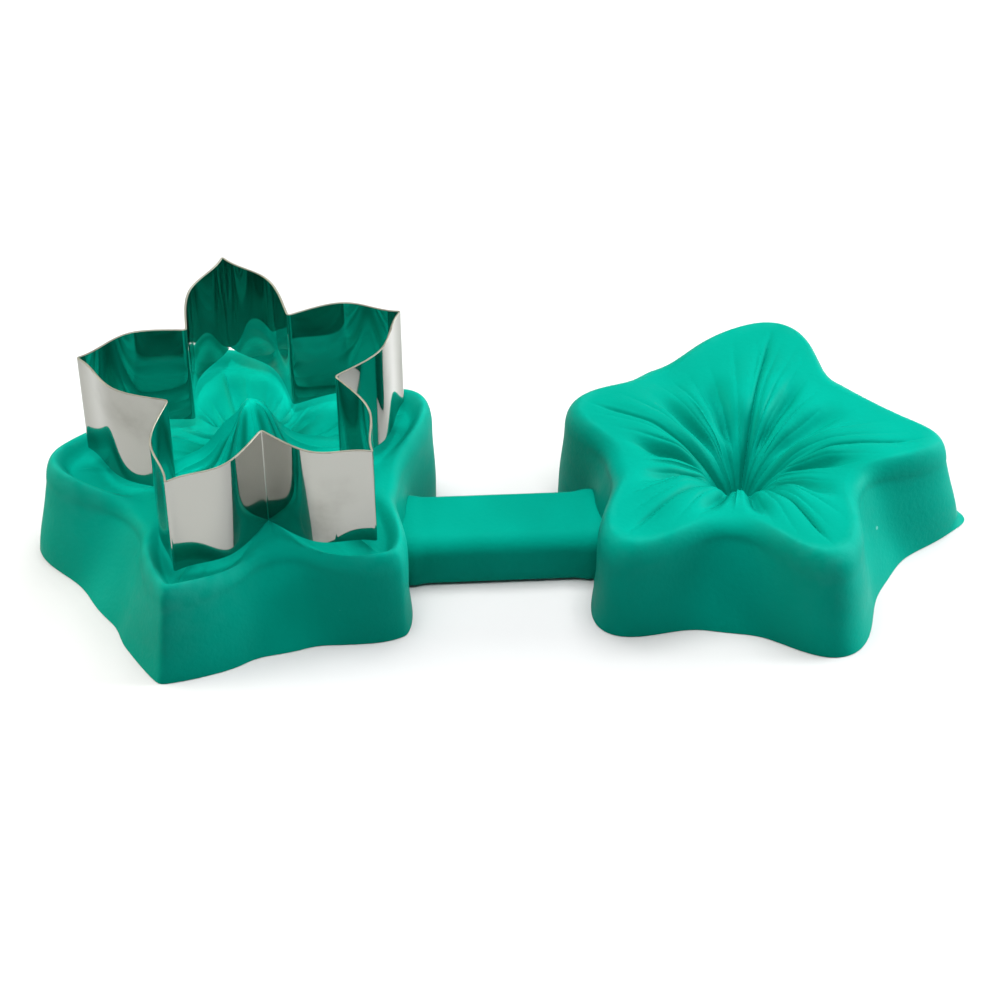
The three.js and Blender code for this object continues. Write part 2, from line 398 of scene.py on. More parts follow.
def new_material(name: str) -> tuple[Material, NodeSheet, Node]:
    """Starts a material.

    Args:
        name: The material's name.

    Returns:
        The material, the sheet to wire it on and its Principled shader.
    """
    material = bpy.data.materials.new(name)
    material.use_nodes = True
    sheet = NodeSheet(material.node_tree)
    return material, sheet, material.node_tree.nodes["Principled BSDF"]


# Finishes


@dataclass(frozen=True)
class SiliconeFinish:
    """Satin moulded silicone with chalky bloom on its edges, a few pale specks and painted shade in its
    grooves.
    """

    deep: Color = (0.0, 0.174, 0.124, 1.0)
    light: Color = (0.0, 0.200, 0.146, 1.0)
    chalk: Color = (0.03, 0.28, 0.23, 1.0)
    speck: Color = (0.08, 0.30, 0.25, 1.0)
    sheen: Color = (0.03, 1.0, 0.86, 1.0)
    # Painted shade: the dark colour laid into the grooves.
    groove_shade: Color = (0.0, 0.085, 0.055, 1.0)
    roughness: Span = (0.46, 0.60)
    refraction: float = 1.28
    specular: float = 0.10
    patch_scale: float = 45.0
    gloss_scale: float = 135.0
    bloom_scale: float = 420.0
    bloom_range: Span = (0.1, 0.9)
    speck_scale: float = 260.0
    speck_share: float = 0.07
    speck_size: float = 0.08
    grain_scale: float = 1400.0
    grain_strength: float = 0.5
    grain_depth_mm: float = 0.03

    def material(self, effects: Effects) -> Material:
        """Builds the finish.

        Args:
            effects: The shared effects.

        Returns:
            The material.
        """
        material, sheet, shader = new_material("satin_silicone")
        patches = sheet.effect(effects.mottle, Scale=self.patch_scale, Detail=2.0)
        colour = sheet.blend(patches, self.deep, self.light)
        # Painted shade: the groove mask darkens the colour in the grooves.
        colour = sheet.blend(sheet.mask(Mask.GROOVE_SHADE), colour, self.groove_shade)
        low, high = self.bloom_range
        powder = sheet.effect(effects.mottle, Scale=self.bloom_scale, Detail=5.0, Low=low, High=high)
        chalked = sheet.math("MULTIPLY", sheet.mask(Mask.BLOOM), powder)
        colour = sheet.blend(chalked, colour, self.chalk)
        dots = {"Scale": self.speck_scale, "Share": self.speck_share, "Size": self.speck_size}
        colour = sheet.blend(sheet.effect(effects.specks, **dots), colour, self.speck)
        low, high = self.roughness
        gloss = sheet.effect(effects.mottle, Scale=self.gloss_scale, Detail=4.0, Low=low, High=high)
        grain = sheet.effect(effects.mottle, Scale=self.grain_scale, Detail=3.0)
        sheet.fill(shader, Base_Color=colour, Roughness=sheet.math("ADD", gloss, chalked))
        sheet.fill(shader, Normal=sheet.bump(grain, self.grain_strength, self.grain_depth_mm))
        sheet.fill(shader, IOR=self.refraction, Specular_IOR_Level=self.specular, Specular_Tint=self.sheen)
        return material


@dataclass(frozen=True)
class SteelFinish:
    """Stainless strip, with faint smears and dust from handling."""

    name: str
    bright: Color
    smeared: Color
    roughness: Span
    smear_scale: float
    wave_depth_mm: float
    smear_power: float = 5.0
    dust_scale: float = 160.0
    dust_share: float = 0.05
    dust_size: float = 0.12
    wave_scale: float = 70.0
    wave_strength: float = 0.3

    def material(self, effects: Effects) -> Material:
        """Builds the finish.

        Args:
            effects: The shared effects.

        Returns:
            The material.
        """
        material, sheet, shader = new_material(self.name)
        smears = sheet.effect(effects.mottle, Scale=self.smear_scale, Detail=6.0)
        rare = sheet.math("POWER", smears, self.smear_power)
        dots = {"Scale": self.dust_scale, "Share": self.dust_share, "Size": self.dust_size}
        worn = sheet.math("MAXIMUM", rare, sheet.effect(effects.specks, **dots))
        low, high = self.roughness
        gloss = sheet.effect(effects.mottle, Scale=self.smear_scale * 2, Detail=5.0, Low=low, High=high)
        waves = sheet.effect(effects.mottle, Scale=self.wave_scale, Detail=1.0)
        sheet.fill(shader, Base_Color=sheet.blend(worn, self.bright, self.smeared), Roughness=gloss)
        sheet.fill(shader, Normal=sheet.bump(waves, self.wave_strength, self.wave_depth_mm), Metallic=1.0)
        return material


POLISHED_STRIP = SteelFinish(
    "polished_steel",
    bright=(0.40, 0.40, 0.37, 1.0),
    smeared=(0.25, 0.25, 0.22, 1.0),
    roughness=(0.03, 0.09),
    smear_scale=55.0,
    wave_depth_mm=0.05,
)
RAW_EDGE = SteelFinish(
    "raw_steel_edge",
    bright=(0.17, 0.165, 0.135, 1.0),
    smeared=(0.10, 0.095, 0.075, 1.0),
    roughness=(0.45, 0.60),
    smear_scale=180.0,
    wave_depth_mm=0.02,
)


@dataclass(frozen=True)
class PaperFinish:
    """Matt white paper of the studio floor."""

    white: Color = (0.44, 0.44, 0.44, 1.0)
    shade: Color = (0.43, 0.432, 0.435, 1.0)
    patch_scale: float = 6.0
    roughness: float = 0.9
    specular: float = 0.1

    def material(self, effects: Effects) -> Material:
        """Builds the finish.

        Args:
            effects: The shared effects.

        Returns:
            The material.
        """
        material, sheet, shader = new_material("studio_paper")
        patches = sheet.effect(effects.mottle, Scale=self.patch_scale, Detail=4.0)
        sheet.fill(shader, Base_Color=sheet.blend(patches, self.white, self.shade))
        sheet.fill(shader, Roughness=self.roughness, Specular_IOR_Level=self.specular)
        return material


# Star blocks


@dataclass(frozen=True)
class FlowerSizes:
    """Sizes that both star blocks share, as in the solids."""

    centre_x: float = 40.17
    centre_y: float = -1.243
    parting_height: float = 18.5
    rim_notch: float = 22.7
    rim_tip: float = 31.7
    rim_taper: float = 1.68
    shoulder_notch: float = 1.8
    shoulder_tip: float = 1.6
    foot_notch: float = 27.1
    foot_tip: float = 35.1
    foot_taper: float = 1.97
    wall_shift: float = 1.2


@dataclass(frozen=True)
class Petal:
    """How one moulded petal departs from the even star.

    Attributes:
        turn_deg: Swing round the flower, anticlockwise on the raised half.
        rim_reach: Length added at the rim.
        foot_reach: Length added at the foot.
        lift: Height added at the rim.
        point: How sharp the block's corner is, from 0, round, to 1, a straight edge.
        bow: How far the midrib bows sideways halfway out.
        flash: How far a thin lip of spilt silicone runs out at the foot.
        bloom: Chalky bloom on the corner's edge.
        fullness: How much wider the petal's flanks are.
        notch_round: Width added to the rounded edge at the notch before the petal.
        notch_rim: Length added at the rim of the notch before the petal.
        notch_foot: Length added at the foot of the notch before the petal.
    """

    turn_deg: float = 0.0
    rim_reach: float = 0.0
    foot_reach: float = 0.0
    lift: float = 0.0
    point: float = 0.0
    bow: float = 0.0
    flash: float = 0.0
    bloom: float = 0.1
    fullness: float = 0.0
    notch_round: float = 0.0
    notch_rim: float = 0.0
    notch_foot: float = 0.0


@dataclass(frozen=True)
class FlowerPoints:
    """Where points lie in a flower.

    Attributes:
        radius: Distance from the flower's middle.
        even: Direction from the strap's notch on an even star, in radians.
        share: Part of the way out to the rim.
        tipness: 1 on the petals' middle lines and 0 on the notch lines.
        from_notch: Degrees from the nearest notch line.
        from_rib: Distance across from the nearest midrib.
        inset: Distance in from the rim.
    """

    radius: Array
    even: Array
    share: Array
    tipness: Array
    from_notch: Array
    from_rib: Array
    inset: Array

    def between(self, window: Window) -> Array:
        """A window along the radius, given by where it starts, is full, starts to fade and ends."""
        start, full, fade, end = window
        return smoothstep(self.radius, start, full) * (1 - smoothstep(self.radius, fade, end))

    def until(self, span: Span) -> Array:
        """Fades from 1 to 0 over a span of the way out to the rim."""
        return 1 - smoothstep(self.share, *span)


@dataclass(frozen=True)
class FlowerRelief:
    """The moulded flower's surface, as heights over the parting plane on the raised half."""

    spike_height: float = 5.8
    spike_radius: float = 4.6
    spike_flare: float = 2.4
    skirt_height: float = 7.0
    skirt_radius: float = 9.5
    skirt_flare: float = 1.5
    tip_recess: float = 2.8
    notch_recess: float = 1.9
    petal_hollow: float = 0.6
    recess_blend: float = 5.0
    pleat_height: float = 0.9
    pleat_sharpness: float = 0.9
    pleat_run: Window = (0.6, 3.2, 6.0, 17.0)
    fold_height: float = 1.2
    fold_angle_deg: float = 13.5
    fold_spread_deg: float = 5.5
    fold_run: Window = (5.0, 10.0, 15.0, 23.0)
    fold_end: Span = (0.6, 0.95)
    notch_crease: float = 0.45
    notch_crease_deg: float = 1.1
    notch_crease_run: Window = (4.0, 8.0, 12.0, 18.0)
    midrib_height: float = 0.75
    midrib_width: float = 0.38
    midrib_start: Span = (2.0, 6.0)
    midrib_end: Span = (0.72, 0.95)
    shoulder_height: float = 0.35
    shoulder_width: float = 1.6
    vein_height: float = 0.5
    vein_full_radius: float = 8.0
    vein_end: Span = (0.55, 0.95)
    vein_clearance: Span = (0.4, 1.6)
    vein_sharpness: float = 1.6
    vein_wander: tuple[Ripple, Ripple] = (Ripple(3, 0.7, 1.3), Ripple(8, 2.1, 0.9))
    vein_fading: Ripple = Ripple(11, 1.0, 0.3, slant=0.25)
    veins_per_petal: int = 8
    gather_slope: float = 0.11
    gather_run: Window = (1.2, 3.2, 9.0, 17.0)
    gather_wander: Ripple = Ripple(3, 0.5, 1.1)
    gathers_per_petal: int = 2
    # Strength of the painted shade in the grooves.
    groove_shade_strength: float = 0.85
    lump_height: float = 0.3
    lump_run: Window = (0.5, 4.0, 8.0, 22.0)
    lump_waves: tuple[Ripple, Ripple] = (Ripple(3, 0.4, slant=0.9), Ripple(7, 2.0, slant=-0.55))

    def height(self, at: FlowerPoints, lip: Array) -> Array:
        """Height of the whole relief.

        Args:
            at: Where to read it.
            lip: 1 on the flower and 0 on a lip that stays at the parting plane.

        Returns:
            The height at each point.
        """
        folded = self.pleats(at) + self.folds(at) + self.midribs(at) + self.lumps(at)
        fine = self.veins(at) + self.gathers(at)
        return self.funnel(at) - lip * self.dish(at) + folded + fine

    def funnel(self, at: FlowerPoints) -> Array:
        """The middle peak, or the throat on the hollow half: a narrow spike on a wide skirt."""
        spike = self.spike_height * np.exp(-((at.radius / self.spike_radius) ** self.spike_flare))
        return spike + self.skirt_height * np.exp(-((at.radius / self.skirt_radius) ** self.skirt_flare))

    def dish(self, at: FlowerPoints) -> Array:
        """Depth of the dished petals under the parting plane."""
        outward = 1 - swell(at.radius, self.recess_blend)
        hollow = self.petal_hollow * at.tipness * np.sin(math.pi * np.clip(at.share, 0, 1)) ** 2
        return outward * (self.notch_recess + (self.tip_recess - self.notch_recess) * at.tipness + hollow)

    def pleats(self, at: FlowerPoints) -> Array:
        """Five pleats that gather at the middle: sharp along the midribs, round along the notches."""
        part = 1 - np.abs(at.from_notch) / HALF_PETAL_DEG
        wave = 1 - 2 * np.sin(math.pi / 2 * np.clip(part, 0, 1)) ** self.pleat_sharpness
        return self.pleat_height * wave * at.between(self.pleat_run)

    def folds(self, at: FlowerPoints) -> Array:
        """Two soft folds beside every notch, and the fine crease between them."""
        pair = swell(np.abs(at.from_notch) - self.fold_angle_deg, self.fold_spread_deg)
        run = at.between(self.fold_run) * at.until(self.fold_end)
        line = crease(at.from_notch, self.notch_crease_deg) * at.between(self.notch_crease_run)
        return self.fold_height * pair * run - self.notch_crease * line

    def midribs(self, at: FlowerPoints) -> Array:
        """A sharp rib along each petal's middle, with soft shoulders."""
        along = smoothstep(at.radius, *self.midrib_start) * at.until(self.midrib_end)
        sharp = self.midrib_height * crease(at.from_rib, self.midrib_width)
        return along * (sharp + self.shoulder_height * crease(at.from_rib, self.shoulder_width))

    def veins(self, at: FlowerPoints) -> Array:
        """Fine veins that fan out beside the midribs."""
        wander = sum(wave.at(at.even) for wave in self.vein_wander)
        phase = PETALS * self.veins_per_petal * at.even + wander
        ridge = (1 - np.abs(np.sin(phase / 2))) ** self.vein_sharpness
        strength = 1 - self.vein_fading.size + self.vein_fading.at(at.even, at.radius)
        fan = np.clip(at.radius / self.vein_full_radius, 0.0, 1.0) * at.until(self.vein_end)
        clear = smoothstep(np.abs(at.from_rib), *self.vein_clearance)
        return self.vein_height * ridge * strength * fan * clear

    def gather_wave(self, at: FlowerPoints) -> Array:
        """1 on the ridges that run down from the middle and -1 in the grooves between them."""
        wave = np.cos(PETALS * self.gathers_per_petal * at.even + self.gather_wander.at(at.even))
        return wave * at.between(self.gather_run)

    def gathers(self, at: FlowerPoints) -> Array:
        """Rounded ridges that grow with the radius."""
        return self.gather_slope * at.radius * self.gather_wave(at)

    def groove_shading(self, at: FlowerPoints) -> Array:
        """Painted shade: how much each point's colour is darkened for lying in a groove, from 0 to 1."""
        return self.groove_shade_strength * np.clip(-self.gather_wave(at), 0.0, 1.0)

    def lumps(self, at: FlowerPoints) -> Array:
        """Small unevenness of a flower modelled by hand."""
        waves = sum(wave.at(at.even, at.radius) for wave in self.lump_waves)
        return self.lump_height * waves * at.between(self.lump_run) / len(self.lump_waves)


@dataclass(frozen=True)
class Bump:
    """A soft bump on a block's top.

    Attributes:
        angle_deg: Direction from the strap's notch.
        radius: Distance from the flower's middle.
        length: Half length along the radius.
        width: Half width across it.
        height: Height at its middle.
    """

    angle_deg: float
    radius: float
    length: float
    width: float
    height: float

    def rise(self, radius: Array, angle: Array) -> Array:
        """Height that the bump adds at each point."""
        off = angle - math.radians(self.angle_deg)
        along, across = radius * np.cos(off) - self.radius, radius * np.sin(off)
        return self.height * swell(along, self.length) * swell(across, self.width) * (np.cos(off) > 0)


@dataclass
class StarBlock:
    """One silicone half: a five-pointed block with the flower's relief on top."""

    name: str
    body: str
    side: Side
    petals: tuple[Petal, ...]
    bumps: tuple[Bump, ...]
    lip_run: float
    corner_run: float
    corner_drop: float
    ease: float
    sizes: FlowerSizes = field(default_factory=FlowerSizes)
    relief: FlowerRelief = field(default_factory=FlowerRelief)
    facets: int = 900
    relief_rings: int = 150
    shoulder_rings: int = 14
    wall_rings: int = 20
    base_rings: int = 3
    foot_turn: float = 1 / 3
    corner_ease: float = 0.03
    corner_power: float = 1.8
    point_run: Span = (0.1, 0.6)
    lift_run: Span = (10.0, 29.0)
    notch_fall: float = 1.0
    notch_fall_deg: float = 14.0
    notch_fall_run: Span = (15.0, 23.0)
    wall_wave: float = 0.22
    wall_ripples: tuple[Ripple, Ripple] = (Ripple(4, 1.0), Ripple(9, 0.5, slant=3.0))
    flash_height: float = 0.6
    flash_sharpness: float = 30.0
    bloom_edge: float = 0.05
    bloom_on_wall: float = 0.7
    sharp_deg: float = 65.0

    def eased(self, angle: Array, name: str, middle: float = 0.5) -> Array:
        """Spreads what one attribute of the petals says round the flower.

        Args:
            angle: Where to read it, in radians from the strap's notch.
            name: The attribute.
            middle: Where it counts in full: 0.5 on the petal's middle line, 0 on the notch before it.

        Returns:
            The eased amount at each angle, 0 half a petal further on.
        """
        total = np.zeros_like(angle)
        for i, petal in enumerate(self.petals):
            off = np.mod(angle - PETAL_ANGLE * (i + middle) + math.pi, 2 * math.pi) - math.pi
            ease = (1 + np.cos(PETALS * off)) / 2
            total += np.where(np.abs(off) < PETAL_ANGLE / 2, getattr(petal, name) * ease, 0.0)
        return total

    def stepped(self, angle: Array, name: str) -> Array:
        """One attribute of the petals, the same from notch to notch."""
        amounts = np.array([getattr(petal, name) for petal in self.petals])
        return amounts[np.floor(np.mod(angle, 2 * math.pi) / PETAL_ANGLE).astype(int)]

    def tipness(self, angle: Array) -> Array:
        """1 on the petals' middle lines and 0 on the notch lines."""
        return (1 - np.cos(PETALS * self.even_angle(angle))) / 2

    def even_angle(self, angle: Array, share: float = 1.0) -> Array:
        """The angle on an even star, with a share of each petal's swing taken out."""
        return angle - np.radians(share * self.eased(angle, "turn_deg"))

    def outline(self, even: Array, notch: float, tip: float, taper: float) -> Array:
        """Radius of the star, with each corner as round or as sharp as its petal.

        Args:
            even: Direction on an even star, in radians.
            notch: Radius between two petals.
            tip: Radius at a petal's tip.
            taper: Exponent that makes the round petals more pointed as it grows.

        Returns:
            The radius at each direction.
        """
        tipness = (1 - np.cos(PETALS * even)) / 2
        off = np.mod(even, PETAL_ANGLE) / PETAL_ANGLE * 2 - 1
        straight = 1 - np.sqrt(off**2 + self.corner_ease**2) + self.corner_ease
        point = self.stepped(even, "point") * smoothstep(tipness, *self.point_run)
        round_petal = tipness ** (taper - self.stepped(even, "fullness"))
        return notch + (tip - notch) * (round_petal * (1 - point) + straight**self.corner_power * point)

    def rim_radius(self, angle: Array) -> Array:
        """Radius of the relief's rim."""
        s = self.sizes
        star = self.outline(self.even_angle(angle), s.rim_notch, s.rim_tip, s.rim_taper)
        reach = self.eased(angle, "rim_reach") + self.eased(angle, "notch_rim", middle=0.0)
        return star + reach - (s.wall_shift / 2) * np.cos(angle)

    def relief_edge(self, angle: Array) -> Array:
        """Radius where the relief ends and the rounded shoulder starts."""
        return self.rim_radius(angle) - self.corner_run - self.eased(angle, "notch_round", middle=0.0)

    def wall_radius(self, angle: Array) -> Array:
        """Radius at the lower end of the rounded shoulder."""
        s = self.sizes
        shoulder = s.shoulder_notch + (s.shoulder_tip - s.shoulder_notch) * self.tipness(angle)
        return self.rim_radius(angle) + shoulder

    def foot_radius(self, angle: Array) -> Array:
        """Radius of the wall's foot."""
        s = self.sizes
        star = self.outline(self.even_angle(angle, self.foot_turn), s.foot_notch, s.foot_tip, s.foot_taper)
        reach = self.eased(angle, "foot_reach") + self.eased(angle, "notch_foot", middle=0.0)
        return star + reach - s.wall_shift * np.cos(angle)

    def flower_points(self, radius: Array, angle: Array) -> FlowerPoints:
        """Places points in the flower.

        Args:
            radius: Distance from the flower's middle.
            angle: Direction from the strap's notch, in radians.

        Returns:
            The points as the relief reads them.
        """
        even = self.even_angle(angle)
        rim = self.rim_radius(angle)
        share = radius / rim
        bow = self.eased(angle, "bow") * np.sin(math.pi * np.clip(share, 0, 1))
        off_rib = even - PETAL_ANGLE * (np.floor(even / PETAL_ANGLE) + 0.5)
        return FlowerPoints(
            radius=radius,
            even=even,
            share=share,
            tipness=self.tipness(angle),
            from_notch=np.degrees(even - PETAL_ANGLE * np.round(even / PETAL_ANGLE)),
            from_rib=radius * off_rib - bow,
            inset=rim - radius,
        )

    def top_height(self, at: FlowerPoints, angle: Array) -> Array:
        """Height of the flower's surface over the worktop.

        Args:
            at: Where to read it.
            angle: Direction of each point from the strap's notch, in radians.

        Returns:
            The height at each point.
        """
        lip = 1.0
        if self.lip_run:
            lip = 1 - at.tipness * (1 - smoothstep(at.inset, 0.0, self.lip_run))
        lift = self.eased(angle, "lift") * smoothstep(at.radius, *self.lift_run)
        fall = swell(at.from_notch, self.notch_fall_deg) * smoothstep(at.radius, *self.notch_fall_run)
        rise = sum(bump.rise(at.radius, angle) for bump in self.bumps)
        flower = self.side.value * self.relief.height(at, lip)
        return self.sizes.parting_height + flower + lift + rise - self.notch_fall * fall - self.ease

    def top_rows(self, angle: Array) -> list[Row]:
        """The relief's rings, from the flower's middle to its edge.

        Args:
            angle: Direction of each facet from the strap's notch, in radians.

        Returns:
            Radius, height, bloom and painted groove shade of each ring.
        """
        edge, chalk = self.relief_edge(angle), self.eased(angle, "bloom")
        rows = []
        for i in range(1, self.relief_rings + 1):
            share = i / self.relief_rings
            at = self.flower_points(edge * share, angle)
            bloom = chalk * max(0.0, 1 - (1 - share) / self.bloom_edge)
            # The last column is the painted shade in the grooves.
            rows.append((at.radius, self.top_height(at, angle), bloom, self.relief.groove_shading(at)))
        return rows

    def wall_rows(self, angle: Array, top: Array) -> list[Row]:
        """The rings of the rounded shoulder, the wall and the base.

        Args:
            angle: Direction of each facet from the strap's notch, in radians.
            top: Height of the relief's last ring.

        Returns:
            Radius, height, bloom and painted groove shade of each ring.
        """
        edge, chalk, bare = self.relief_edge(angle), self.eased(angle, "bloom"), np.zeros_like(angle)
        wall, foot = self.wall_radius(angle), self.foot_radius(angle)
        low = self.sizes.parting_height - self.corner_drop + self.eased(angle, "lift")
        flash = self.stepped(angle, "flash") * self.tipness(angle) ** self.flash_sharpness
        rows = []
        for i in range(1, self.shoulder_rings + 1):
            turn = (math.pi / 2) * i / self.shoulder_rings
            height = top - (top - low) * (1 - math.cos(turn))
            rows.append((edge + (wall - edge) * math.sin(turn), height, chalk, bare))
        for i in range(1, self.wall_rings + 1):
            down = i / self.wall_rings
            height = low * (1 - down)
            wave = sum(ripple.at(angle, down) for ripple in self.wall_ripples)
            uneven = self.wall_wave * math.sin(math.pi * down) * wave
            spill = flash * smoothstep(-height, -self.flash_height, 0.0)
            bloom = self.bloom_on_wall * chalk * (1 - down)
            rows.append((wall + (foot - wall) * down + uneven + spill, height, bloom, bare))
        for i in range(1, self.base_rings + 1):
            rows.append((foot * (1 - i / (self.base_rings + 1)), bare, bare, bare))
        return rows

    def rings(self) -> tuple[Array, dict[Mask, Array]]:
        """All rings from the flower's middle over the rim and down the wall to the base.

        Returns:
            Points by ring and facet before the block is placed, and the masks at each.
        """
        angle = np.linspace(0.0, 2 * math.pi, self.facets, endpoint=False)
        rows = self.top_rows(angle)
        rows += self.wall_rows(angle, rows[-1][1])
        # The groove column is painted shade for the finish.
        radius, height, bloom, groove_shade = np.array(rows).swapaxes(0, 1)
        points = np.stack([radius * np.cos(angle), radius * np.sin(angle), height], axis=-1)
        return points, {Mask.BLOOM: bloom, Mask.GROOVE_SHADE: groove_shade}

    def placed(self, points: Array) -> Array:
        """Moves points from the flower's own middle to the block's place on the worktop."""
        out = turned(points, -math.radians(TOE_DEG))
        out[..., 0] = -self.side.value * (self.sizes.centre_x - out[..., 0])
        out[..., 1] += self.sizes.centre_y
        return out

    def build(self) -> Piece:
        """Makes the block's mesh.

        Returns:
            The placed piece.
        """
        rings, masks = self.rings()
        ends = np.array([[0.0, 0.0, float(rings[0, :, 2].mean())], [0.0, 0.0, 0.0]])
        points = self.placed(np.concatenate([ends, rings.reshape(-1, 3)]))
        faces = capped_faces(len(rings), self.facets)
        if self.side is Side.HOLLOW:
            faces = flipped(faces)
        obj = mesh_object(self.name, points, faces, self.sharp_deg)
        for mask, values in masks.items():
            add_mask(obj, mask, np.concatenate([np.zeros(len(ends)), values.ravel()]))
        return obj

    def dress(self, obj: Piece, silicone: Material) -> None:
        """Gives the block its finish and sets it on its body.

        Args:
            obj: The built piece.
            silicone: The block's finish.
        """
        obj.data.materials.append(silicone)
        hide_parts(self.body)
        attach(obj, self.body)


# Strap


@dataclass
class Strap:
    """The flexible strap: six skins, each spanning one joint of the chain."""

    width: float = 13.2
    thickness: float = 8.8
    front_round: float = 3.0
    back_round: float = 1.2
    bottom_round: float = 1.0
    root_depth: float = 9.0
    flare: float = 0.4
    flare_span: Span = (11.2, 14.7)
    root_lift: float = 0.5
    root_lift_span: Span = (14.2, 15.7)
    steps: int = 18
    corner_steps: int = 8
    sharp_deg: float = 50.0

    def section(self) -> tuple[Array, Array]:
        """The strap's section, anticlockwise as seen from the hollow half.

        Returns:
            Points across and up from the strap's middle line, and the outward direction at each.
        """
        half, top = self.width / 2, self.thickness
        corners = [
            (half - self.bottom_round, self.bottom_round, self.bottom_round, -90.0),
            (half - self.back_round, top - self.back_round, self.back_round, 0.0),
            (self.front_round - half, top - self.front_round, self.front_round, 90.0),
            (self.bottom_round - half, self.bottom_round, self.bottom_round, 180.0),
        ]
        points, normals = [], []
        for across, up, radius, start in corners:
            for i in range(self.corner_steps + 1):
                a = math.radians(start + 90.0 * i / self.corner_steps)
                normals.append((math.cos(a), math.sin(a)))
                points.append((across + radius * math.cos(a), up + radius * math.sin(a)))
        return np.array(points), np.array(normals)

    def skin(self, name: str, start: float, end: float, middle_y: float) -> Piece:
        """One stretch of the strap, closed at both ends.

        Args:
            name: The piece's name.
            start: Where it starts along the strap.
            end: Where it ends along the strap.
            middle_y: The strap's middle line.

        Returns:
            The stretch, flared where it runs into a block.
        """
        points, normals = self.section()
        around = len(points)
        rows = []
        for x in np.linspace(start, end, self.steps + 1):
            across, up = (points + normals * self.flare * smoothstep(abs(x), *self.flare_span) ** 2).T
            lowest = self.root_lift * smoothstep(abs(x), *self.root_lift_span)
            rows.append(np.column_stack([np.full(around, x), across + middle_y, np.maximum(up, lowest)]))
        ends = np.array([row.mean(axis=0) for row in (rows[0], rows[-1])])
        faces = flipped(capped_faces(len(rows), around))
        return mesh_object(name, np.concatenate([ends, *rows]), faces, self.sharp_deg)

    def build(self) -> list[tuple[Piece, dict]]:
        """Makes the skins from the raised half to the hollow half.

        Returns:
            Each skin with the joint that it spans.
        """
        bends = [joint for joint in frame["joints"] if joint["type"] == "hinge"]
        places = [joint["pos_m"][0] / MM for joint in bends]
        half_pitch = (places[1] - places[0]) / 2
        low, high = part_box("strap_link_1")
        middle_y = (low.y + high.y) / 2 / MM
        made = []
        for i, (joint, x) in enumerate(zip(bends, places)):
            start = x - (self.root_depth if i == 0 else half_pitch)
            end = x + (self.root_depth if i == len(bends) - 1 else half_pitch)
            made.append((self.skin(f"strap_skin_{i + 1}", start, end, middle_y), joint))
        return made

    def dress(self, skins: list[tuple[Piece, dict]], silicone: Material) -> None:
        """Gives the skins their finish and empty masks, hides the links that they stand for and bakes their
        places.

        Args:
            skins: Each skin with its joint.
            silicone: The strap's finish.
        """
        for obj, joint in skins:
            obj.data.materials.append(silicone)
            for mask in Mask:
                add_mask(obj, mask, np.zeros(len(obj.data.vertices)))
            if joint["child"].startswith("strap_link"):
                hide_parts(joint["child"])
            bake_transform(obj)


# Petal cutter


